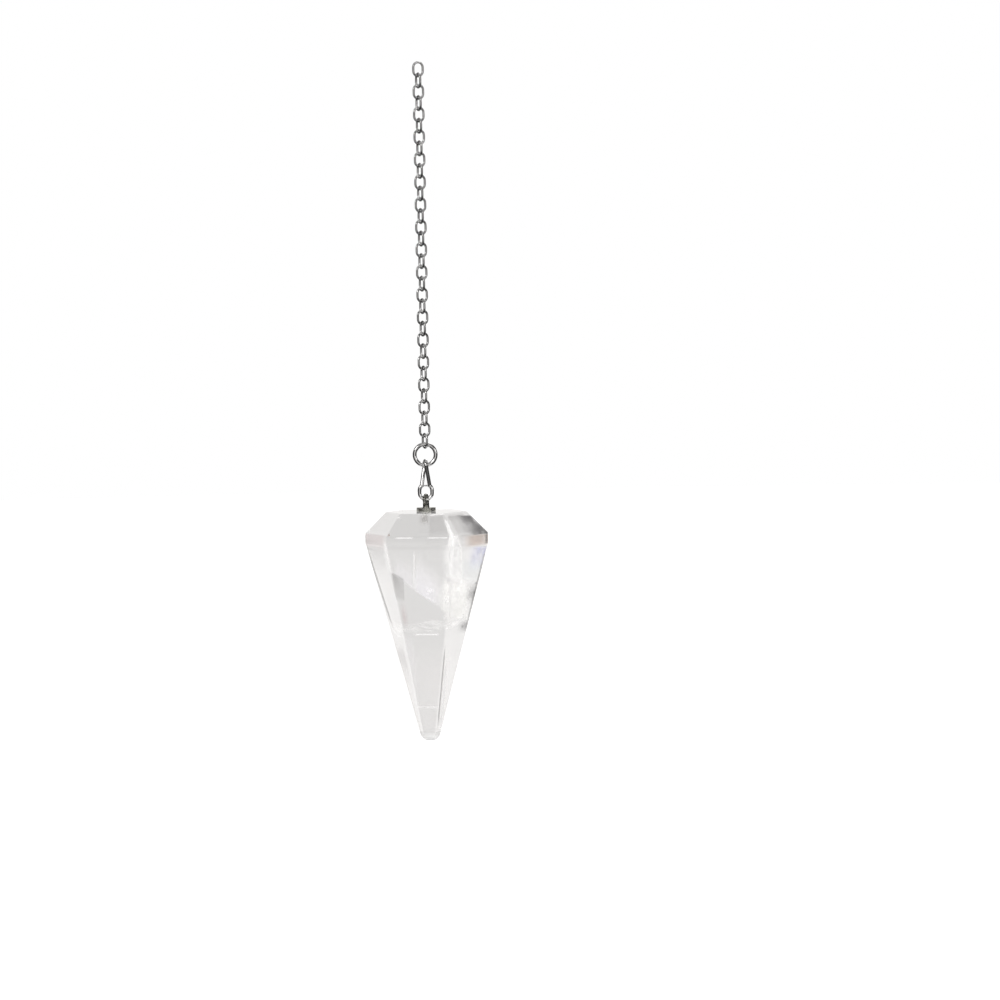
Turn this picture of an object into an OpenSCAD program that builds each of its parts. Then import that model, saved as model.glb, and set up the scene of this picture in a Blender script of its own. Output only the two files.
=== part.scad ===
// A hanging pendulum: a clear six-sided stone point on a peg bail, held by a twisted
// pear link, a jump ring and a fine cable chain. It hangs along -Z from the origin,
// which lies in the upper bow of the top link, and its front faces -Y.

/* [Chain] */
// Number of links from the held link down to the jump ring
link_count = 34; // [4:2:60]
// Outer width of one link
link_w = 2.47; // [2.2:0.01:3.2]
// Straight length of a link's sides, between its two half-round ends
link_side = 0.73; // [0.5:0.01:2]
// Thickness of the link's wire
link_wire = 0.44; // [0.3:0.01:0.52]
// Turn of the whole chain about the vertical
chain_turn = 25; // [0:1:45]
// Running gap between the wires of two pieces that hang in each other
hang_gap = 0.08; // [0.05:0.01:0.15]

/* [Jump ring] */
// Outer diameter of the jump ring
ring_od = 5; // [4.2:0.1:8]
// Thickness of the jump ring's wire
ring_wire = 0.8; // [0.5:0.05:0.85]

/* [Pear link] */
// Distance between the wire centres at the top and the bottom of the pear link
pear_l = 7.68; // [6.5:0.02:12]
// Thickness of the pear link's wire
pear_wire = 0.76; // [0.5:0.02:0.8]
// Room on each side of the jump ring's wire in the narrow top bow
bow_room = 0.1; // [0.08:0.01:0.3]
// Turn of the top bow away from square to the lower eye
pear_bow_turn = 12; // [0:1:20]
// Inner radius of its round lower eye
eye_r = 0.87; // [0.8:0.01:1.1]
// Straight stretch on each side of the lower eye
eye_straight = 0.5; // [0.3:0.05:1.5]
// Arc of the eye's shoulders, up to the waist where the legs begin
shoulder_arc = 51; // [35:1:60]
// Thickness of the fine bar soldered across the waist
bar_wire = 0.3; // [0.2:0.02:0.4]
// How much wider than the wire its soldered corners are
solder_swell = 0.04; // [0.02:0.01:0.08]

/* [Peg bail] */
// Room on each side of the pear link's wire in the bail's eye
bail_room = 0.22; // [0.18:0.01:0.4]
// Thickness of the bail eye's wire
bail_wire = 0.7; // [0.4:0.02:0.8]
// Turn of the bail's eye away from edge-on
bail_turn = 18; // [0:1:25]
// Diameter of the post below the eye
post_d = 1.3; // [0.8:0.05:1.6]
// Room between the pear link's wire and the post's top, which fills the foot of the eye
post_room = 0.26; // [0.15:0.01:0.4]
// Length of post that shows between the eye and the plate
post_l = 0.21; // [0.1:0.01:1]
// Diameter of the round plate that sits on the stone
plate_d = 3.85; // [2.5:0.05:6]
// Thickness of that plate
plate_t = 0.74; // [0.4:0.02:1.2]
// Diameter of the peg in the stone
peg_d = 1; // [0.7:0.05:1.4]
// Length of the peg in the stone
peg_l = 4.2; // [2:0.1:8]
// Glue gap round the peg, at its end and under the plate
glue_gap = 0.05; // [0.03:0.01:0.15]

/* [Stone] */
// Radius over the corners at the table
table_r = 8.16; // [5:0.02:9.5]
// Radius over the corners at the girdle
girdle_r = 12.46; // [10:0.02:16]
// Height of the crown, from the girdle up to the table
crown_h = 4.3; // [2.5:0.1:8]
// Height of the upright girdle band
girdle_h = 1.96; // [0.8:0.02:4]
// Height of the long pavilion, from the girdle down to the worn tip
pavilion_h = 37.9; // [20:0.1:60]
// Radius over the corners where the worn tip begins
tip_r = 2.2; // [1:0.05:3]
// Height of the worn tip
tip_h = 1.74; // [0.8:0.02:3]
// Turn of the stone about the vertical
stone_turn = 0; // [-30:1:30]

/* [Hidden] */
$fn = 48;

// Radii of the wires' centre lines
link_c = (link_w - link_wire) / 2;
ring_c = (ring_od - ring_wire) / 2;
bow_c = (ring_wire + pear_wire) / 2 + bow_room;
eye_c = eye_r + pear_wire / 2;
bail_c = (pear_wire + bail_wire) / 2 + bail_room;

// Heights of the centres, from the held bow at the origin down to the stone's table
link_l = link_w + link_side;
link_pitch = link_l - 2 * link_wire - hang_gap;
first_z = link_wire - link_l / 2;
last_z = first_z - (link_count - 1) * link_pitch;
ring_z = last_z - (link_l - link_wire) / 2 + (link_wire + ring_wire) / 2 + hang_gap - ring_c;
pear_top_z = ring_z - ring_c + (ring_wire + pear_wire) / 2 + hang_gap;
hinge_z = pear_top_z - pear_l;
bail_z = hinge_z + (pear_wire + bail_wire) / 2 + hang_gap - bail_c;
post_top_z = hinge_z - pear_wire / 2 - post_room;
plate_top_z = bail_z - bail_c - bail_wire / 2 - post_l;
plate_bottom_z = plate_top_z - plate_t;
table_z = plate_bottom_z - glue_gap;

// Corners of the stone about the vertical, by hand: angle from the front, growing to the right
CORNER_ANGLE = [-39, 26, 83, 140, 216, 263];

// Sections of the stone from the table down: [height under the table, radius over the corners].
// The tip's two lower sections are shares of its height and radius.
SECTION = [
    [0, table_r],
    [crown_h, girdle_r],
    [crown_h + girdle_h, girdle_r],
    [crown_h + girdle_h + pavilion_h, tip_r],
    [crown_h + girdle_h + pavilion_h + 0.62 * tip_h, 0.84 * tip_r],
    [crown_h + girdle_h + pavilion_h + tip_h, 0.5 * tip_r]
];

function link_name(i) = str("link_", i < 10 ? "0" : "", i);

// An arc of round wire in the XZ plane about the origin, from +X towards +Z
module wire_arc(centre_r, wire, arc = 360) {
    rotate([90, 0, 0])
        rotate_extrude(angle = arc)
            translate([centre_r, 0])
                circle(d = wire);
}

// A straight round rod between two points
module rod(from, to, wire) {
    run = to - from;
    translate(from)
        rotate([0, acos(run.z / norm(run)), atan2(run.y, run.x)])
            cylinder(h = norm(run), d = wire);
}

// One oval link: two half rings and two straight sides. Every second one is turned square.
module chain_link(i) {
    color("silver")
        translate([0, 0, first_z - (i - 1) * link_pitch])
            rotate([0, 0, chain_turn + (i % 2 == 0 ? 90 : 0)])
                union() {
                    translate([0, 0, link_side / 2])
                        wire_arc(link_c, link_wire, 180);
                    translate([0, 0, -link_side / 2])
                        mirror([0, 0, 1])
                            wire_arc(link_c, link_wire, 180);
                    for (x = [-link_c, link_c])
                        translate([x, 0, -link_side / 2])
                            cylinder(h = link_side, d = link_wire);
                }
}

module jump_ring() {
    color("gainsboro")
        translate([0, 0, ring_z])
            wire_arc(ring_c, ring_wire);
}

// The narrow bow stands square to the round eye, so its two legs twist as they come down
module pear_link() {
    waist = [eye_c * cos(shoulder_arc), 0, hinge_z + eye_c + eye_straight + eye_c * sin(shoulder_arc)];
    bow_z = pear_top_z - bow_c;
    bow_end = [bow_c * sin(pear_bow_turn), -bow_c * cos(pear_bow_turn), bow_z];
    color("gainsboro")
        union() {
            translate([0, 0, bow_z])
                rotate([0, 0, 90 + pear_bow_turn])
                    wire_arc(bow_c, pear_wire, 180);
            translate([0, 0, hinge_z + eye_c])
                mirror([0, 0, 1])
                    wire_arc(eye_c, pear_wire, 180);
            for (side = [0, 180])
                rotate([0, 0, side]) {
                    translate(bow_end)
                        sphere(d = pear_wire + solder_swell);
                    rod(bow_end, waist, pear_wire);
                    translate(waist)
                        sphere(d = pear_wire + solder_swell);
                    translate([0, 0, hinge_z + eye_c + eye_straight])
                        wire_arc(eye_c, pear_wire, shoulder_arc);
                    translate([eye_c, 0, hinge_z + eye_c])
                        cylinder(h = eye_straight, d = pear_wire);
                }
            rod([-waist.x, 0, waist.z], waist, bar_wire);
        }
}

// Eye, post, plate and peg are one soldered piece
module peg_bail() {
    color("darkgray")
        union() {
            translate([0, 0, bail_z])
                rotate([0, 0, 90 - bail_turn])
                    wire_arc(bail_c, bail_wire);
            translate([0, 0, plate_top_z])
                cylinder(h = post_top_z - plate_top_z, d = post_d);
            translate([0, 0, plate_bottom_z])
                cylinder(h = plate_t, d = plate_d);
            translate([0, 0, plate_bottom_z - peg_l])
                cylinder(h = peg_l + plate_t / 2, d = peg_d);
        }
}

// Flat facets between the sections, with a blind hole for the peg
module stone() {
    sides = len(CORNER_ANGLE);
    levels = len(SECTION);
    hole_l = peg_l + glue_gap;
    corners = [
        for (s = SECTION, a = CORNER_ANGLE)
            [s[1] * sin(a + stone_turn), -s[1] * cos(a + stone_turn), table_z - s[0]]
    ];
    table = [for (i = [0:sides - 1]) sides - 1 - i];
    end = [for (i = [0:sides - 1]) (levels - 1) * sides + i];
    facets = [
        for (k = [0:levels - 2], i = [0:sides - 1])
            let (j = (i + 1) % sides)
                [k * sides + i, k * sides + j, (k + 1) * sides + j, (k + 1) * sides + i]
    ];
    color("whitesmoke")
        difference() {
            polyhedron(points = corners, faces = concat([table, end], facets));
            translate([0, 0, table_z - hole_l])
                cylinder(h = hole_l + crown_h, d = peg_d + 2 * glue_gap);
        }
}

for (i = [1:link_count])
    chain_link(i);
jump_ring();
pear_link();
peg_bail();
stone();
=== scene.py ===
# A pendulum pendant: a clear rock crystal point on a peg bail, held by a twisted pear link,
# a jump ring and a fine cable chain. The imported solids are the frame, and nothing leaves its place.

import math

import bmesh
import bpy
from mathutils import Matrix, Vector, noise


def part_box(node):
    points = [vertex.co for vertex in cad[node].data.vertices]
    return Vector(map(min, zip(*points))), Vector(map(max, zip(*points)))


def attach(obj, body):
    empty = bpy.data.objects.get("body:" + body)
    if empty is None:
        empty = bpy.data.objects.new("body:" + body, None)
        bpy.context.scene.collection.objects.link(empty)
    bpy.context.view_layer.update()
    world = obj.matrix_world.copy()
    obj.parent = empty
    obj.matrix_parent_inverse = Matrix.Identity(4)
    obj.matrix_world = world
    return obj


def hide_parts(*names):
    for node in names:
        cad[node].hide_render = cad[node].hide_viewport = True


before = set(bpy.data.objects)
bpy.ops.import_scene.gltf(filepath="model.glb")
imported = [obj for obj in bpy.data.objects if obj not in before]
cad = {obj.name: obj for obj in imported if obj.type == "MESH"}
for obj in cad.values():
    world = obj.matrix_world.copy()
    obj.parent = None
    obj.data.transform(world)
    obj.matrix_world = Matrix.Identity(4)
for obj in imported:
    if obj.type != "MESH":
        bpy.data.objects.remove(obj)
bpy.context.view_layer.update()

# Camera
# A long lens a little above the stone, turned about its own axis until the pendulum hangs
# one degree off the upright, as it does in the picture of 1000 by 1000 pixels.
mm = 0.001
pixel = 0.2 * mm
picture_px = 1000
picture_centre_px = picture_px / 2
hold_px = (418.4, 66.2)
camera_distance = 0.8
camera_elevation = math.radians(3.5)
camera_roll = math.radians(-1.0)

right_of_hold = (picture_centre_px - hold_px[0]) * pixel
below_hold = (picture_centre_px - hold_px[1]) * pixel
aim_x = right_of_hold * math.cos(camera_roll) + below_hold * math.sin(camera_roll)
aim_z = right_of_hold * math.sin(camera_roll) - below_hold * math.cos(camera_roll)
aim = Vector((aim_x, 0, aim_z / math.cos(camera_elevation)))
towards_camera = Vector((0, -math.cos(camera_elevation), math.sin(camera_elevation)))
viewpoint = aim + towards_camera * camera_distance
upright = (-towards_camera).to_track_quat("-Z", "Y")
line_of_sight = upright @ Matrix.Rotation(camera_roll, 3, "Z").to_quaternion()

lens = bpy.data.cameras.new("camera")
lens.sensor_width = 36
lens.lens = lens.sensor_width * camera_distance / (picture_px * pixel)
lens.clip_start = 0.05
lens.clip_end = 20
camera = bpy.data.objects.new("camera", lens)
bpy.context.scene.collection.objects.link(camera)
camera.rotation_mode = "QUATERNION"
camera.location = viewpoint
camera.rotation_quaternion = line_of_sight
bpy.context.scene.camera = camera


# Floor and studio light
# A white table lit through, in a pale room. Polished wire sees the room's dark middle between a
# soft box in front and a backdrop behind, the clear stone sees it pale all round, and what is
# matt is lit evenly.
floor_z = -0.32
floor_radius = 4
floor_colour = (0.3, 0.3, 0.3, 1)
room_colour = (1, 0.985, 0.972, 1)
glow_seen = 0.75
glow_unseen = 0.4
matt_light = 1.16
glare_fade = 1.2


def add_node(tree, kind, inputs=(), **settings):
    """Adds a node, sets its properties, and joins or sets the named inputs."""
    made = tree.nodes.new("ShaderNode" + kind)
    for name, value in settings.items():
        setattr(made, name, value)
    for socket, value in dict(inputs).items():
        if isinstance(value, bpy.types.NodeSocket):
            tree.links.new(value, made.inputs[socket])
        else:
            made.inputs[socket].default_value = value
    return made


def start_material(name):
    """A new material with an empty node tree, and the tree."""
    material = bpy.data.materials.new(name)
    material.use_nodes = True
    material.node_tree.nodes.clear()
    return material, material.node_tree


def new_object(name, bm, material):
    """An object at the origin with this bmesh as its mesh."""
    mesh = bpy.data.meshes.new(name)
    bm.to_mesh(mesh)
    bm.free()
    mesh.materials.append(material)
    made = bpy.data.objects.new(name, mesh)
    bpy.context.scene.collection.objects.link(made)
    return made


def step(tree, value, span, result):
    """A smooth step: result[0] below the span of the value, and result[1] above it."""
    made = add_node(tree, "MapRange", {
        "Value": value, "From Min": span[0], "From Max": span[1], "To Min": result[0], "To Max": result[1],
    }, interpolation_type="SMOOTHSTEP")
    return made.outputs[0]


def combine(tree, operation, first, second):
    """One number from two, by the named operation."""
    return add_node(tree, "Math", {0: first, 1: second}, operation=operation).outputs[0]


def choose(tree, factor, no, yes):
    """no where the factor is 0, yes where it is 1."""
    return add_node(tree, "Mix", {"Factor": factor, "A": no, "B": yes}, data_type="FLOAT").outputs["Result"]


floor_finish, tree = start_material("white_table")
seen = add_node(tree, "LightPath").outputs["Is Camera Ray"]
glow = add_node(tree, "Emission", {
    "Color": (1, 1, 1, 1), "Strength": choose(tree, seen, glow_unseen, glow_seen),
})
matt = add_node(tree, "BsdfDiffuse", {"Color": floor_colour})
both = add_node(tree, "AddShader", {0: glow.outputs[0], 1: matt.outputs[0]})
add_node(tree, "OutputMaterial", {"Surface": both.outputs[0]})
bm = bmesh.new()
bmesh.ops.create_circle(bm, cap_ends=True, segments=96, radius=floor_radius)
bmesh.ops.translate(bm, verts=bm.verts, vec=(0, 0, floor_z))
floor = new_object("floor", bm, floor_finish)
floor.visible_transmission = False
floor.visible_glossy = False

soft_lights = {
    "key_light": {"at": (-0.8, -1.0, 0.5), "size": 0.5, "watts": 4},
    "fill_light": {"at": (0.9, -0.8, 0.2), "size": 0.4, "watts": 1.5},
    "back_light": {"at": (0.3, 0.8, 0.7), "size": 0.5, "watts": 2},
}

room = bpy.data.worlds.new("studio")
bpy.context.scene.world = room
room.use_nodes = True
tree = room.node_tree
tree.nodes.clear()
towards = add_node(tree, "TexCoord").outputs["Generated"]
heading = add_node(tree, "SeparateXYZ", {"Vector": towards})
sideways = add_node(tree, "Math", {0: heading.outputs["X"]}, operation="ABSOLUTE").outputs[0]
path = add_node(tree, "LightPath")
unblurred = path.outputs["Is Singular Ray"]
soft_box = step(tree, heading.outputs["Y"], (-0.99, -0.85), (0.8, 0.06))
backdrop_sharp = step(tree, heading.outputs["Y"], (0.2, 0.45), (0, 0.95))
backdrop_blurred = step(tree, heading.outputs["Y"], (0.88, 0.98), (0, 0.9))
backdrop = choose(tree, unblurred, backdrop_blurred, backdrop_sharp)
walls = combine(tree, "ADD", soft_box, backdrop)
below = step(tree, heading.outputs["Z"], (-0.85, -0.4), (0.5, 1))
ceiling = step(tree, heading.outputs["Z"], (0.6, 0.9), (0, 0.5))
for_wire = combine(tree, "ADD", combine(tree, "MULTIPLY", walls, below), ceiling)
glare = 0
for light in soft_lights.values():
    way = Vector(light["at"]) - aim
    spread = math.atan(light["size"] / 2 / way.length)
    facing = add_node(tree, "VectorMath", {0: towards, 1: way.normalized()}, operation="DOT_PRODUCT")
    bright = light["watts"] / (math.pi * light["size"] ** 2)
    rim = (math.cos(glare_fade * spread), math.cos(spread))
    glare = combine(tree, "ADD", glare, step(tree, facing.outputs["Value"], rim, (0, bright)))
for_wire = combine(tree, "ADD", for_wire, choose(tree, unblurred, glare, 0))
dim_walls = step(tree, sideways, (0.74, 0.93), (1, 0.6))
pale_walls = combine(tree, "ADD", dim_walls, step(tree, sideways, (0.95, 0.99), (0, 0.4)))
pale_middle = step(tree, sideways, (0.12, 0.45), (1, 1.1))
rising = step(tree, heading.outputs["Z"], (-0.1, 0.3), (0.665, 0.8))
for_stone = combine(tree, "MULTIPLY", combine(tree, "MULTIPLY", pale_walls, pale_middle), rising)
through_stone = combine(tree, "GREATER_THAN", path.outputs["Transmission Depth"], 0.5)
off_matt = combine(tree, "GREATER_THAN", path.outputs["Diffuse Depth"], 0.5)
unseen = choose(tree, off_matt, choose(tree, through_stone, for_wire, for_stone), matt_light)
seen = path.outputs["Is Camera Ray"]
strength = choose(tree, seen, unseen, 1.0)
tint = add_node(tree, "Mix", {"Factor": seen, "A": room_colour, "B": (1, 1, 1, 1)}, data_type="RGBA")
sky = add_node(tree, "Background", {"Color": tint.outputs["Result"], "Strength": strength})
add_node(tree, "OutputWorld", {"Surface": sky.outputs[0]})

for name, light in soft_lights.items():
    lamp = bpy.data.lights.new(name, "AREA")
    lamp.size = light["size"]
    lamp.energy = light["watts"]
    lamp_object = bpy.data.objects.new(name, lamp)
    bpy.context.scene.collection.objects.link(lamp_object)
    lamp_object.location = light["at"]
    lamp_object.rotation_mode = "QUATERNION"
    lamp_object.rotation_quaternion = (aim - Vector(light["at"])).to_track_quat("-Z", "Y")
    lamp_object.visible_camera = False
    lamp_object.visible_glossy = False
    lamp_object.visible_transmission = False

bpy.context.scene.view_settings.view_transform = "Standard"
bpy.context.scene.cycles.max_bounces = 32
bpy.context.scene.cycles.diffuse_bounces = 12
bpy.context.scene.cycles.transmission_bounces = 20
bpy.context.scene.cycles.glossy_bounces = 12
bpy.context.scene.cycles.transparent_max_bounces = 96


# Chain
# Oval links of round steel wire, bent and closed one through the next, and polished. The
# wire's polish is uneven, and handling has left fine scratches and grey in it.
chain_nodes = sorted(name for name in cad if name.startswith("link_"))
# A near black that the bail's eye and post are coloured towards.
upper_dark_tone = (0.03, 0.03, 0.03, 1)
upper_dark_share = 0.4


def metal_finish(name, bright, dull, roughness, grain, scratch_depth, darker_above=None):
    """Metal in two shades with uneven polish and fine scratches. grain is the pattern's size and
    scratch_depth the scratches' depth, in mm, and darker_above the heights between which the metal
    goes from its own shades part way towards near black."""
    material, tree = start_material(name)
    place = add_node(tree, "TexCoord").outputs["Object"]
    scale = 1 / (grain * mm)
    wear = add_node(tree, "TexNoise", {"Vector": place, "Scale": scale, "Detail": 5, "Roughness": 0.6})
    fine = add_node(tree, "TexNoise", {
        "Vector": place, "Scale": 6 * scale, "Detail": 6, "Roughness": 0.7,
    })
    spread = add_node(tree, "MapRange", {
        "Value": wear.outputs["Fac"], "From Min": 0.35, "From Max": 0.65,
    })
    colour = add_node(tree, "Mix", {
        "Factor": spread.outputs[0], "A": (*bright, 1), "B": (*dull, 1),
    }, data_type="RGBA")
    shade = colour.outputs["Result"]
    if darker_above:
        height = add_node(tree, "SeparateXYZ", {"Vector": place}).outputs["Z"]
        burnt = step(tree, height, darker_above, (0, upper_dark_share))
        darkened = add_node(tree, "Mix", {"Factor": burnt, "A": shade, "B": upper_dark_tone}, data_type="RGBA")
        shade = darkened.outputs["Result"]
    rough = add_node(tree, "MapRange", {
        "Value": fine.outputs["Fac"], "From Min": 0.3, "From Max": 0.7,
        "To Min": roughness[0], "To Max": roughness[1],
    })
    stretch = add_node(tree, "Mapping", {"Vector": place, "Scale": (1, 1, 0.2)})
    lines = add_node(tree, "TexNoise", {
        "Vector": stretch.outputs[0], "Scale": 12 * scale, "Detail": 4, "Roughness": 0.8,
    })
    bump = add_node(tree, "Bump", {
        "Height": lines.outputs["Fac"], "Distance": scratch_depth * mm, "Strength": 0.6,
    })
    metal = add_node(tree, "BsdfPrincipled", {
        "Base Color": shade, "Metallic": 1,
        "Roughness": rough.outputs[0], "Normal": bump.outputs[0],
    })
    add_node(tree, "OutputMaterial", {"Surface": metal.outputs[0]})
    return material


def finish_node(name, material):
    """Gives a solid of the frame its material."""
    node = cad[name]
    node.data.materials.clear()
    node.data.materials.append(material)


chain_polish = metal_finish(
    "chain_wire_polish", bright=(0.95, 0.95, 0.95), dull=(0.6, 0.6, 0.6),
    roughness=(0.07, 0.18), grain=1.6, scratch_depth=0.0025,
)
for name in chain_nodes:
    finish_node(name, chain_polish)


# Jump ring and pear link
# A split ring of thicker wire, and a link bent into a narrow bow and a round eye that stand
# square to each other, with a thin bar soldered across the waist. Both are bright steel.
ring_polish = metal_finish(
    "ring_wire_polish", bright=(0.86, 0.86, 0.86), dull=(0.62, 0.62, 0.62),
    roughness=(0.07, 0.16), grain=2.2, scratch_depth=0.0008,
)
finish_node("jump_ring", ring_polish)
finish_node("pear_link", ring_polish)


# Peg bail
# Eye, post, plate and peg, soldered and left duller than the links. The peg is glued into
# the stone's drilled hole, and the plate rests on the table.
plate_over_table = 0.79 * mm
upper_dark_rise = 0.6 * mm
plate_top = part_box("stone")[1][2] + plate_over_table
# Above the plate the eye and post are coloured darker, part way towards near black.
dull_metal = metal_finish(
    "dull_bail_metal", bright=(0.68, 0.68, 0.62), dull=(0.34, 0.34, 0.31),
    roughness=(0.2, 0.4), grain=1.2, scratch_depth=0.006, darker_above=(plate_top, plate_top + upper_dark_rise),
)
finish_node("peg_bail", dull_metal)


# Stone
# One piece of rock crystal, sawn, ground on a wheel into six long faces under six short ones,
# and polished by hand, so its edges are a little round and its faces not quite flat. The glue
# round the peg in its drilled hole is pale and matt, and the tip is worn rough.
quartz_ior = 1.544
glue_cover = 0.93
weld = 0.002 * mm
flat_angle = math.radians(0.5)
sharp_angle = math.radians(3)
edge_round = 0.22 * mm
hole_reach = 0.7 * mm
least_facet = mm * mm
small_face = 4 * mm * mm
polish_wave = 14 * mm
polish_depth = 0.12 * mm
grit_size = 0.8 * mm
stone_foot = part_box("stone")[0][2]
worn_below = stone_foot + 1.8 * mm
clear_part, glued_part, worn_part = range(3)

bm = bmesh.new()
bm.from_mesh(cad["stone"].data)
bmesh.ops.remove_doubles(bm, verts=bm.verts, dist=weld)
bmesh.ops.dissolve_limit(bm, angle_limit=flat_angle, verts=bm.verts, edges=bm.edges)

hull = bm.copy()
bmesh.ops.convex_hull(hull, input=hull.verts)
facet_planes = [
    (face.calc_center_median(), face.normal.copy())
    for face in hull.faces if face.calc_area() > least_facet
]
hull.free()


def in_hole(corner):
    """Whether this corner belongs to the drilled hole."""
    return math.hypot(corner.co.x, corner.co.y) < hole_reach


outer_edges = [
    edge for edge in bm.edges
    if not any(in_hole(corner) for corner in edge.verts) and edge.calc_face_angle(0) > sharp_angle
]
bmesh.ops.bevel(
    bm, geom=outer_edges, offset=edge_round, offset_type="OFFSET", affect="EDGES",
    segments=3, profile=0.5, material=-1,
)
for face in bm.faces:
    face.smooth = face.calc_area() < small_face
    face.material_index = clear_part
    if all(in_hole(corner) for corner in face.verts):
        face.material_index = glued_part
    if face.calc_center_median().z < worn_below:
        face.material_index = worn_part

rock_crystal, tree = start_material("rock_crystal")
place = add_node(tree, "TexCoord").outputs["Object"]
wave = add_node(tree, "TexNoise", {
    "Vector": place, "Scale": 1 / polish_wave, "Detail": 0.5, "Roughness": 0.4,
})
wavy = add_node(tree, "Bump", {"Height": wave.outputs["Fac"], "Distance": polish_depth, "Strength": 1})
clear = add_node(tree, "BsdfPrincipled", {
    "Base Color": (1, 1, 1, 1), "Roughness": 0, "IOR": quartz_ior, "Transmission Weight": 1,
    "Normal": wavy.outputs[0],
})
let_through = add_node(tree, "BsdfTransparent")
shadow = add_node(tree, "LightPath").outputs["Is Shadow Ray"]
lit_inside = add_node(tree, "MixShader", {0: shadow, 1: clear.outputs[0], 2: let_through.outputs[0]})
add_node(tree, "OutputMaterial", {"Surface": lit_inside.outputs[0]})

hole_glue, tree = start_material("hole_glue")
let_through = add_node(tree, "BsdfTransparent")
ground = add_node(tree, "BsdfPrincipled", {"Base Color": (0.84, 0.84, 0.82, 1), "Roughness": 0.6})
filled = add_node(tree, "MixShader", {0: glue_cover, 1: let_through.outputs[0], 2: ground.outputs[0]})
add_node(tree, "OutputMaterial", {"Surface": filled.outputs[0]})

worn_tip, tree = start_material("worn_tip")
place = add_node(tree, "TexCoord").outputs["Object"]
grit = add_node(tree, "TexNoise", {"Vector": place, "Scale": 1 / grit_size, "Detail": 3})
ground = add_node(tree, "MapRange", {"Value": grit.outputs["Fac"], "To Min": 0.3, "To Max": 0.5})
height = add_node(tree, "SeparateXYZ", {"Vector": place}).outputs["Z"]
wear = step(tree, height, (stone_foot, worn_below), (0.65, 0.05))
frosted = add_node(tree, "BsdfPrincipled", {
    "Base Color": (1, 1, 1, 1), "Roughness": ground.outputs[0], "IOR": quartz_ior, "Transmission Weight": 1,
})
chalky = add_node(tree, "BsdfPrincipled", {"Base Color": (0.96, 0.96, 0.96, 1), "Roughness": 0.6})
worn = add_node(tree, "MixShader", {0: wear, 1: frosted.outputs[0], 2: chalky.outputs[0]})
add_node(tree, "OutputMaterial", {"Surface": worn.outputs[0]})

stone = new_object("crystal_point", bm, rock_crystal)
stone.data.materials.append(hole_glue)
stone.data.materials.append(worn_tip)
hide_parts("stone")
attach(stone, "drop")


# Milky veils
# Healed cracks in the crystal, filled with bubbles too fine to see one by one. They are only as
# milky as they are thick, so each is a stack of thin sheets. A broad one slopes across the front
# to a sharp lower edge, and a cloud lies under the right front edge. Down that edge and along the
# crown's right edge, stacks of white sheets are a painted highlight band.
sheet_gap = 0.05 * mm
small_folds = 0.4
cut_tolerance = 0.001 * mm
side_bearing = {"left": -68, "front": -6.5, "right": 54.5}
level_rise = {"crown": 45, "girdle": 0, "pavilion": -10}


def flaw_finish(name, colour, density, grain, cover, detail=2, ragged=0):
    """One thin sheet in the crystal, thick where its noise is high. grain is the noise's size, in
    mm, cover the noise values between which the sheet goes from none to all of its density, and
    ragged how much its noise eats into its borders."""
    material, tree = start_material(name)
    place = add_node(tree, "TexCoord").outputs["Object"]
    blots = add_node(tree, "TexNoise", {
        "Vector": place, "Scale": 1 / (grain * mm), "Detail": detail, "Roughness": 0.6,
    })
    haze = add_node(tree, "Attribute", attribute_name="haze").outputs["Fac"]
    worn_off = combine(tree, "MULTIPLY", combine(tree, "SUBTRACT", 1, haze), ragged)
    patchy = step(tree, combine(tree, "SUBTRACT", blots.outputs["Fac"], worn_off), cover, (0, density))
    shown = combine(tree, "MULTIPLY", patchy, haze)
    body = add_node(tree, "BsdfPrincipled", {
        "Base Color": (*colour, 1), "Roughness": 0.6, "Specular IOR Level": 0.1,
    })
    empty = add_node(tree, "BsdfTransparent")
    thin = add_node(tree, "MixShader", {0: shown, 1: empty.outputs[0], 2: body.outputs[0]})
    add_node(tree, "OutputMaterial", {"Surface": thin.outputs[0]})
    return material


def border(share, fade):
    """Rises smoothly from 0 at a border to 1 at the end of its fade."""
    if fade <= 0:
        return 1
    reach = min(max(share / fade, 0), 1)
    return reach * reach * (3 - 2 * reach)


def under(side, level, depth, places_px):
    """The points this deep under a facet that show at these places of the picture, in mm and to
    the hundredth. The facet is the one that looks most nearly to its side's bearing and its
    level's rise."""
    bearing = math.radians(side_bearing[side])
    rise = math.radians(level_rise[level])
    outlook = Vector((
        math.sin(bearing) * math.cos(rise), -math.cos(bearing) * math.cos(rise), math.sin(rise),
    ))
    centre, outwards = max(facet_planes, key=lambda facet: facet[1].dot(outlook))
    inside = centre - outwards * depth * mm
    points = []
    for x, y in places_px:
        ray = Vector(((x - picture_centre_px) * pixel, (picture_centre_px - y) * pixel, -camera_distance))
        ray.rotate(line_of_sight)
        reach = (inside - viewpoint).dot(outwards) / ray.dot(outwards)
        points.append([round(measure / mm, 2) for measure in viewpoint + ray * reach])
    return points


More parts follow.
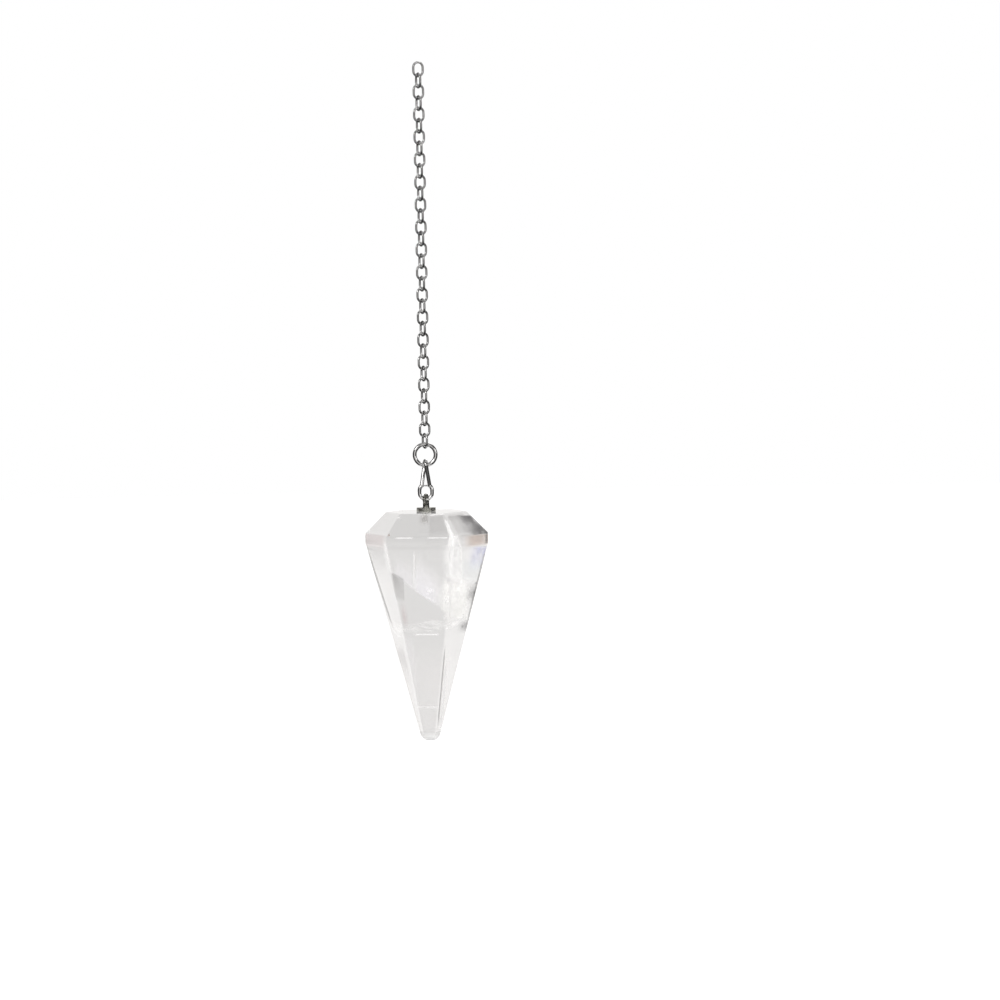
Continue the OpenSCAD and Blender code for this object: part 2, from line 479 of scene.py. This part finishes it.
def flaw(name, finish, corners, fades, sheets=1, rumple=0, wander=2.5, fineness=20, skin=0.3):
    """A flaw inside the stone. corners are low left, low right, high right and high left; fades
    are the shares of it over which it thins out to the left, right, low and high border; sheets
    is how many lie on each other, rumple how far they stray from flat, wander the size of their
    folds, fineness the parts of its grid each way, and skin the depth under the stone's facets
    that it keeps clear of. All lengths are in mm."""
    low_left, low_right, high_right, high_left = (Vector(corner) * mm for corner in corners)
    off = (low_right - low_left).cross(high_left - low_left).normalized()
    left, right, low, high = fades
    bm = bmesh.new()
    haze = bm.verts.layers.float.new("haze")
    for number in range(sheets):
        grid = bmesh.ops.create_grid(bm, x_segments=fineness, y_segments=fineness, size=0.5)
        for corner in grid["verts"]:
            across = corner.co.x + 0.5
            up = corner.co.y + 0.5
            spot = low_left.lerp(low_right, across).lerp(high_left.lerp(high_right, across), up)
            fold = noise.noise(spot / (wander * mm))
            fold += small_folds * noise.noise(spot / (small_folds * wander * mm))
            corner.co = spot + off * (fold * rumple * mm - number * sheet_gap)
            sideways_haze = border(across, left) * border(1 - across, right)
            corner[haze] = sideways_haze * border(up, low) * border(1 - up, high)
    for centre, outwards in facet_planes:
        bmesh.ops.bisect_plane(
            bm, geom=bm.verts[:] + bm.edges[:] + bm.faces[:], dist=cut_tolerance,
            plane_co=centre - outwards * (skin * mm), plane_no=outwards, clear_outer=True,
        )
    flat = new_object(name, bm, finish)
    for face in flat.data.polygons:
        face.use_smooth = True
    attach(flat, "drop")


veil_finish = flaw_finish("milky_veil", (0.96, 0.95, 0.98), density=0.24, grain=5, cover=(-0.1, 0.5))
flaw(
    "milky_veil", veil_finish,
    [(-2.6, -7.3, -104.3), (2.7, -7.0, -108.1), (4.1, -7.6, -101.0), (-2.1, -8.6, -96.0)],
    fades=(0.12, 0.4, 0.03, 0.95), sheets=4,
)
flaw(
    "thin_veil", veil_finish,
    [(-6.9, -7.0, -100.6), (-2.5, -7.2, -104.4), (-2.2, -8.0, -98.0), (-5.8, -8.2, -96.4)],
    fades=(0.3, 0.1, 0.03, 0.95), sheets=2,
)
cloud_finish = flaw_finish(
    "milky_cloud", (0.97, 0.97, 0.96), density=0.22, grain=2.2, cover=(0, 0.6), ragged=0.5,
)
milky_cloud_front_px = ((431, 598), (449, 625), (453, 566), (436, 562))
flaw(
    "milky_cloud_front", cloud_finish,
    under("front", "pavilion", 0.5, milky_cloud_front_px),
    fades=(0.9, 0, 0.15, 0.8), sheets=4, skin=0.15,
)
milky_cloud_side_px = ((447, 624), (472, 616), (477, 560), (452, 560))
flaw(
    "milky_cloud_side", cloud_finish,
    under("right", "pavilion", 0.5, milky_cloud_side_px),
    fades=(0, 0.6, 0.1, 0.8), sheets=4, skin=0.15,
)
wisp_finish = flaw_finish("milky_wisps", (1, 1, 0.99), density=0.24, grain=2, cover=(0.42, 0.62), detail=3)
flaw(
    "milky_wisps_front", wisp_finish,
    [(4.2, -4.6, -110.6), (8, -2.2, -111.5), (9.2, -2.4, -101.5), (2.6, -5.8, -99.5)],
    fades=(0.25, 0.2, 0.15, 0.5), sheets=5, rumple=0.3, wander=4,
)
flaw(
    "milky_wisps_back", wisp_finish,
    [(3.4, -0.3, -112), (6.5, 2.5, -111.5), (7.8, 3.5, -102.5), (2.6, -0.5, -100)],
    fades=(0.3, 0.2, 0.2, 0.4), sheets=5, rumple=0.4, wander=4,
)
# White sheets: the milky growth tube and crack ends, and painted highlights on the edges.
white_veil_and_glint_finish = flaw_finish("white_veil_and_painted_glint", (1, 1, 1), density=0.24, grain=1.5, cover=(0, 0.4), ragged=0.3)
# Painted highlight band down the right front edge: in front, on the side, at the top and corner.
flaw(
    "edge_glint_band_front", white_veil_and_glint_finish,
    [(2.84, -8.81, -102.32), (5.61, -9.13, -102.74), (5.76, -10.82, -95.47), (2.99, -10.41, -95.46)],
    fades=(1, 0, 0.35, 0), sheets=7, skin=0.12,
)
edge_glint_band_side_px = ((451, 582), (463, 582), (462, 545), (451, 545))
flaw(
    "edge_glint_band_side", white_veil_and_glint_finish,
    under("right", "pavilion", 0.4, edge_glint_band_side_px),
    fades=(0, 0.35, 0.35, 0), sheets=9, skin=0.12,
)
edge_glint_band_top_px = ((450, 547), (461, 547), (460, 535), (450, 536))
flaw(
    "edge_glint_band_top", white_veil_and_glint_finish,
    under("right", "girdle", 0.3, edge_glint_band_top_px),
    fades=(0, 0.4, 0, 0.15), sheets=7, skin=0.12,
)
edge_glint_band_corner_px = ((446, 547), (456, 547), (456, 536), (448, 536))
flaw(
    "edge_glint_band_corner", white_veil_and_glint_finish,
    under("front", "girdle", 0.3, edge_glint_band_corner_px),
    fades=(0.5, 0, 0, 0.15), sheets=7, skin=0.12,
)
# Painted highlight along the crown's right front edge.
flaw(
    "crown_edge_glint", white_veil_and_glint_finish,
    [(4.51, -10.89, -93.67), (5.8, -11.04, -93.68), (4.05, -7.81, -90.1), (3.35, -7.72, -90.09)],
    fades=(0.5, 0.3, 0, 0.3), sheets=5, skin=0.12,
)
flaw(
    "growth_tube", white_veil_and_glint_finish,
    [(-2.75, -7.3, -104.4), (-2.3, -7.3, -104.4), (-2.15, -8.9, -96.4), (-2.5, -8.9, -96.4)],
    fades=(0.4, 0.4, 0.35, 0.1), sheets=4,
)
flaw(
    "milky_left", veil_finish,
    [(-4.24, -0.85, -133.01), (-1.43, -1.17, -133.03), (-2.3, -5.55, -113.27), (-5.97, -5.19, -113.25)],
    fades=(0, 0.5, 0.02, 0.1), skin=0.2,
)
faint_haze = flaw_finish("faint_haze", (0.97, 0.95, 0.95), density=0.24, grain=9, cover=(-0.2, 0.3))
flaw(
    "milky_foot", faint_haze,
    [(-3.5, 0.5, -133.5), (3.5, 0.5, -133.5), (9, 0.5, -112.5), (-9, 0.5, -112.5)],
    fades=(0, 0, 0.05, 0.5),
)


# Cross crack
# A thin crack that runs level through the stone halfway down, wavy like broken glass, and a
# much smaller one near the tip. Their front edges carry painted highlights.
crack_finish = flaw_finish(
    "crack_film", (0.99, 0.99, 0.98), density=0.2, grain=3, cover=(0.42, 0.7), detail=3,
)
flaw(
    "cross_crack", crack_finish,
    [(-8, -8, -113.4), (8, -8, -112.1), (8, 8, -109.7), (-8, 8, -111.0)],
    fades=(0, 0, 0.2, 0.2), sheets=2, rumple=0.7, wander=3.5, fineness=40,
)
# Opaque white for painted highlights: crack edges, glints on the stone's edges and tip, and flecks.
glint_finish = flaw_finish("painted_glint", (1, 1, 1), density=0.9, grain=3, cover=(0.1, 0.4))
# Painted highlight along the crack's front edge.
flaw(
    "painted_glint", glint_finish,
    [(-2.9, -5.6, -113.5), (2.4, -5.9, -113.55), (2.3, -5.6, -113.1), (-2.8, -5.3, -113.1)],
    fades=(0.2, 0.1, 0.3, 0.3),
)
crack_left_end_px = ((399, 641), (407, 636), (394, 618), (387, 622))
flaw(
    "crack_left_end", white_veil_and_glint_finish,
    under("left", "pavilion", 0.35, crack_left_end_px),
    fades=(0.5, 0.5, 0.25, 0.3), sheets=4, skin=0.2,
)
flaw(
    "tip_crack", crack_finish,
    [(-1.9, -2.2, -128.7), (1.6, -2.6, -128.7), (1.6, 1.0, -127.9), (-1.9, 1.0, -127.9)],
    fades=(0.1, 0.1, 0.1, 0.3), rumple=0.1,
)
# Painted highlight along the tip crack's front edge.
tip_crack_glint_px = ((417.5, 708.3), (438.5, 708.3), (438.5, 705.8), (417.5, 705.8))
flaw(
    "tip_crack_glint", white_veil_and_glint_finish,
    under("front", "pavilion", 0.15, tip_crack_glint_px),
    fades=(0.1, 0.1, 0.3, 0.3), sheets=2, skin=0.12,
)


# Dark and coloured sheets
# A painted dark reflection under the right shoulder; painted shade on the crown, along the table's
# rim, in front of the peg and down the right edge; grey sheets that darken the stone elsewhere; a
# rose tint on the left; and below the right shoulder, painted dispersion in peach, lilac and pale blue.
# Near-black sheets: a painted dark reflection in the crown under the right shoulder.
dark_reflection_finish = flaw_finish(
    "painted_dark_reflection", (0.05, 0.045, 0.05), density=0.8, grain=2, cover=(0, 0.55), detail=4, ragged=0.2,
)
flaw(
    "dark_reflection_shoulder", dark_reflection_finish,
    [(6.37, -9.88, -93.87), (12.69, -1.07, -93.9), (9.4, 0.3, -89.9), (5.9, -5, -89.9)],
    fades=(0.85, 0, 0.02, 0.15), skin=0.12,
)
flaw(
    "dark_reflection_edge", dark_reflection_finish,
    [(8.33, -5.97, -93.48), (12.6, -1.18, -93.89), (9.93, -0.41, -91), (7.56, -3.38, -91.05)],
    fades=(0.75, 0, 0.02, 1), skin=0.15,
)
flaw(
    "dark_reflection_rim", dark_reflection_finish,
    [(6.18, -6.2, -91.64), (10.31, -2.41, -92.96), (8.46, -0.8, -90.2), (5.3, -4.7, -89.9)],
    fades=(0.5, 0, 0.9, 0.1), skin=0.1,
)
# Faint grey sheets: painted shade on the crown, the table's rim and before the peg, and darker grey on the
# left.
faint_grey = flaw_finish("faint_grey", (0.3, 0.29, 0.29), density=0.3, grain=8, cover=(0.1, 0.45))
# Painted shade: the crown in front darker.
flaw(
    "crown_front_painted_shade", faint_grey,
    [(0.2, -10.2, -94.6), (5.2, -9.6, -94.6), (3.3, -6.3, -89.7), (0.5, -7.0, -89.6)],
    fades=(0.2, 0.05, 0.4, 0.1),
)
# Painted shade: the right crown facet darker.
flaw(
    "crown_right_facet_painted_shade", faint_grey,
    [(5.9, -9.6, -94.2), (10.5, -3.5, -94.2), (7.0, -1.8, -89.6), (3.9, -6.5, -89.6)],
    fades=(0.15, 0.1, 0.2, 0.1),
)
# Painted shade: a dark line along the table's right front rim.
table_rim_painted_shade_px = ((443, 523), (470, 523), (467, 515.5), (446, 515.5))
flaw(
    "table_rim_painted_shade", faint_grey,
    under("right", "crown", 0.3, table_rim_painted_shade_px),
    fades=(0.2, 0, 0.8, 0.25), skin=0.2,
)
# Painted shade along the lower edge of the right crown facet.
crown_low_painted_shade_px = ((463, 536.5), (491, 536.5), (487, 527), (463, 527))
flaw(
    "crown_low_painted_shade", faint_grey,
    under("right", "crown", 0.25, crown_low_painted_shade_px),
    fades=(0.4, 0, 0, 0.9), skin=0.15,
)
# Painted shadow in front of the peg, under the plate.
peg_painted_shadow_px = ((416, 528), (433, 528), (432, 514.5), (417, 514.5))
flaw(
    "peg_painted_shadow", faint_grey,
    under("front", "crown", 0.6, peg_painted_shadow_px),
    fades=(0.5, 0.5, 0.6, 0.3), sheets=2, skin=0.2,
)
# Grey sheets that darken the stone at the left front corner, the lower left and the left side.
flaw(
    "grey_corner", faint_grey,
    [(-5.9, -6.6, -107.0), (-4.4, -6.6, -107.0), (-4.4, -7.8, -101.9), (-7.1, -7.4, -100.3)],
    fades=(0.05, 0.1, 0.3, 0.05),
)
grey_corner_top_px = ((394, 594), (405, 594), (402, 579), (391, 571))
flaw(
    "grey_corner_top", faint_grey,
    under("front", "pavilion", 0.4, grey_corner_top_px),
    fades=(0.1, 0.7, 0.9, 0.15), skin=0.25,
)
flaw(
    "grey_low_left", faint_grey,
    [(-4.4, 2.6, -125.5), (-2.7, -1.6, -125), (-5.2, -3.6, -114.6), (-7.9, 3.4, -115)],
    fades=(0, 0, 0.9, 0.4), skin=0.2,
)
# Very thin grey: painted shade on the crown facets, and a faint darkening low on the left and on the
# girdle.
thin_grey = flaw_finish("thin_grey", (0.3, 0.29, 0.29), density=0.05, grain=8, cover=(-0.2, 0.3))
grey_left_low_px = ((414, 733), (427, 733), (400, 594), (376, 594))
crown_left_painted_shade_px = ((365, 534), (389, 534), (399, 513), (386, 512))
crown_right_painted_shade_px = ((447, 534), (472, 534), (468, 516), (441, 516))
crown_middle_painted_shade_px = ((413, 534), (435, 534), (433, 523), (415, 523))
grey_girdle_px = ((424, 548), (444, 548), (444, 537), (424, 537))
thin_zones = {
    "grey_left_low": (under("left", "pavilion", 1.2, grey_left_low_px), (0, 0.1, 0.1, 0.3), 1),
    "crown_left_painted_shade": (under("left", "crown", 0.35, crown_left_painted_shade_px), (0.1, 0.1, 0.1, 0.2), 1),
    "crown_right_painted_shade": (under("right", "crown", 0.35, crown_right_painted_shade_px), (0.3, 0.4, 0.2, 0.3), 2),
    "crown_middle_painted_shade": (under("front", "crown", 0.35, crown_middle_painted_shade_px), (0.4, 0.4, 0.1, 0.5), 1),
    "grey_girdle": (under("front", "girdle", 0.35, grey_girdle_px), (0.3, 0.3, 0.2, 0.2), 1),
}
for name, (corners, fades, sheets) in thin_zones.items():
    flaw(name, thin_grey, corners, fades, sheets, skin=0.25)
grey_left_px = ((374, 580), (391, 580), (387, 547), (365, 544))
flaw(
    "grey_left", faint_grey,
    under("left", "pavilion", 0.4, grey_left_px),
    fades=(0, 0.2, 0.9, 0.05),
)
# Painted shade: grey down the right edge of the pavilion, and round the tip's outline.
dark_shade = flaw_finish("dark_shade", (0.12, 0.115, 0.12), density=0.6, grain=5, cover=(0.05, 0.5))
right_edge_shade_px = ((461, 606), (475, 606), (480, 578), (463, 580))
flaw(
    "right_edge_shade", dark_shade,
    under("right", "pavilion", 0.3, right_edge_shade_px),
    fades=(0.8, 0, 0.5, 0.6), skin=0.2,
)
right_foot_shade_px = ((454, 634), (468, 634), (471, 617), (456, 618))
flaw(
    "right_foot_shade", dark_shade,
    under("right", "pavilion", 0.3, right_foot_shade_px),
    fades=(0.8, 0, 0.5, 0.5), skin=0.2,
)
rose_tint = flaw_finish("rose_tint", (0.52, 0.4, 0.4), density=0.36, grain=8, cover=(0, 0.4))
flaw(
    "rose_column", rose_tint,
    [(-4.8, -5.2, -112.4), (-3.4, -5.2, -112.4), (-3.8, -6.6, -106.0), (-6.0, -6.6, -106.0)],
    fades=(0.4, 0.7, 0.4, 0.6),
)
rose_girdle_px = ((364, 550), (388, 552), (388, 535), (364, 532))
flaw(
    "rose_girdle", rose_tint,
    under("left", "girdle", 0.3, rose_girdle_px),
    fades=(0, 0.25, 0.5, 0.15), skin=0.15,
)
# Painted dispersion: peach, lilac blue and pale blue where the stone splits the light below the right
# shoulder.
painted_peach_dispersion = flaw_finish("painted_peach_dispersion", (0.6, 0.45, 0.36), density=0.34, grain=6, cover=(0, 0.4))
painted_peach_dispersion_px = ((462, 549), (489, 545), (489, 533), (461, 536))
flaw(
    "painted_peach_dispersion", painted_peach_dispersion,
    under("right", "girdle", 0.3, painted_peach_dispersion_px),
    fades=(0.45, 0, 0.3, 0.1), sheets=2, skin=0.15,
)
painted_blue_dispersion = flaw_finish("painted_blue_dispersion", (0.5, 0.52, 0.82), density=0.38, grain=6, cover=(0.1, 0.45))
painted_blue_dispersion_px = ((466, 574), (481, 570), (488, 545), (467, 546))
flaw(
    "painted_blue_dispersion", painted_blue_dispersion,
    under("right", "pavilion", 0.4, painted_blue_dispersion_px),
    fades=(0.6, 0, 0.6, 0.1), sheets=2,
)
painted_pale_blue_dispersion = flaw_finish("painted_pale_blue_dispersion", (0.4, 0.56, 0.6), density=0.1, grain=6, cover=(-0.2, 0.3))
painted_pale_blue_dispersion_px = ((456, 584), (480, 584), (484, 556), (458, 556))
flaw(
    "painted_pale_blue_dispersion", painted_pale_blue_dispersion,
    under("right", "pavilion", 0.6, painted_pale_blue_dispersion_px),
    fades=(0.3, 0.3, 0.4, 0.3),
)


# Painted edge light and shade
# Where the edges catch the light, painted highlights: white at the shoulder, along the table's
# front edge, down the left edge and the lower right front edge, and round the tip. Painted shade:
# grey lines down the sides, along the girdle and the lower front edge, and under the tip.
shoulder_glints = {
    "shoulder_glint_left": ((-6.2, -9.75), (-2.4, -10.15)),
    "shoulder_glint_right": ((0.2, -10.45), (4.7, -10.95)),
}
for name, (first, last) in shoulder_glints.items():
    flaw(
        name, glint_finish,
        [(*first, -94.0), (*last, -94.0), (*last, -93.6), (*first, -93.6)],
        fades=(0.15, 0.15, 0.4, 0.4), skin=0.05,
    )
table_glint_px = ((428, 516.2), (447, 514.6), (447, 513.2), (428, 514.8))
flaw(
    "table_glint", glint_finish,
    under("front", "crown", 0.1, table_glint_px),
    fades=(0.3, 0.2, 0.4, 0.2), skin=0.03,
)
# Dark grey sheets for the painted shade lines.
shade_finish = flaw_finish("edge_shade", (0.1, 0.1, 0.1), density=0.55, grain=6, cover=(0, 0.35))
edge_shade_left_px = ((393, 630), (395.3, 630), (368, 545), (365, 545))
edge_shade_right_px = ((463, 632), (467, 632), (489, 545), (484.5, 545))
girdle_shade_left_px = ((364.8, 547), (366.6, 547), (366.6, 534), (364.8, 534))
girdle_shade_right_px = ((484.5, 549.5), (488, 549.5), (488, 532), (484.5, 532))
edge_shade_px = ((436, 731), (438.2, 731), (446.2, 643), (444, 643))
lines_down = {
    "edge_shade_left": under("left", "pavilion", 0.15, edge_shade_left_px),
    "edge_shade_right": under("right", "pavilion", 0.15, edge_shade_right_px),
    "girdle_shade_left": under("left", "girdle", 0.15, girdle_shade_left_px),
    "girdle_shade_right": under("right", "girdle", 0.12, girdle_shade_right_px),
    "edge_shade": under("right", "pavilion", 0.15, edge_shade_px),
}
for name, corners in lines_down.items():
    flaw(name, shade_finish, corners, fades=(0.4, 0.4, 0.2, 0.2), skin=0.08)
left_edge_glint_px = ((390, 575), (394, 575), (386, 536), (381, 536))
flaw(
    "left_edge_glint", white_veil_and_glint_finish,
    under("left", "pavilion", 0.15, left_edge_glint_px),
    fades=(0.5, 0.5, 0.4, 0.1), sheets=3, skin=0.08,
)
edge_glint_px = ((438.3, 731), (441.5, 731), (450, 643), (446.2, 643))
flaw(
    "edge_glint", glint_finish,
    under("right", "pavilion", 0.15, edge_glint_px),
    fades=(0.3, 0.4, 0.05, 0.5), skin=0.1,
)
flaw(
    "tip_glint", glint_finish,
    [(-1.35, -0.7, -134.8), (1.1, -0.95, -134.85), (1.6, -1.3, -134.2), (-1.6, -1.0, -134.2)],
    fades=(0.15, 0.15, 0.3, 0.3), skin=0.06,
)
# Painted shade under the tip's highlight.
flaw(
    "tip_shade", dark_shade,
    [(-1.1, -0.55, -135.1), (0.95, -0.75, -135.1), (1.35, -1.0, -134.8), (-1.5, -0.7, -134.8)],
    fades=(0.1, 0.1, 0.1, 0.4), skin=0.04,
)


# Flecks and chips
# Painted highlights where small bubbles and chips flash white, and grey painted shade in chips
# that knocks have left in the right-hand edge.
flecks = {
    "fleck_left": ((0.52, -8.2, -104.52), 0.7),
    "fleck_right": ((3.86, -8.2, -106.17), 0.65),
    "fleck_edge": ((9.69, -0.79, -104.9), 0.4),
    "fleck_crown": ((-5.29, -6.65, -89.91), 0.45),
}
chip_shades = {
    "chip_shade_high": ((9.4, -1.3, -103.6), 0.4),
    "chip_shade_low": ((9.1, -1.0, -105.6), 0.5),
    "chip_shade_foot": ((6.6, -1.9, -112.2), 0.45),
}
for marks, finish in ((flecks, glint_finish), (chip_shades, shade_finish)):
    for name, (centre, reach) in marks.items():
        x, y, z = centre
        square = [
            (x - reach, y, z - reach), (x + reach, y, z - reach),
            (x + reach, y, z + reach), (x - reach, y, z + reach),
        ]
        flaw(name, finish, square, fades=(0.5, 0.5, 0.5, 0.5), fineness=6, skin=0.1)
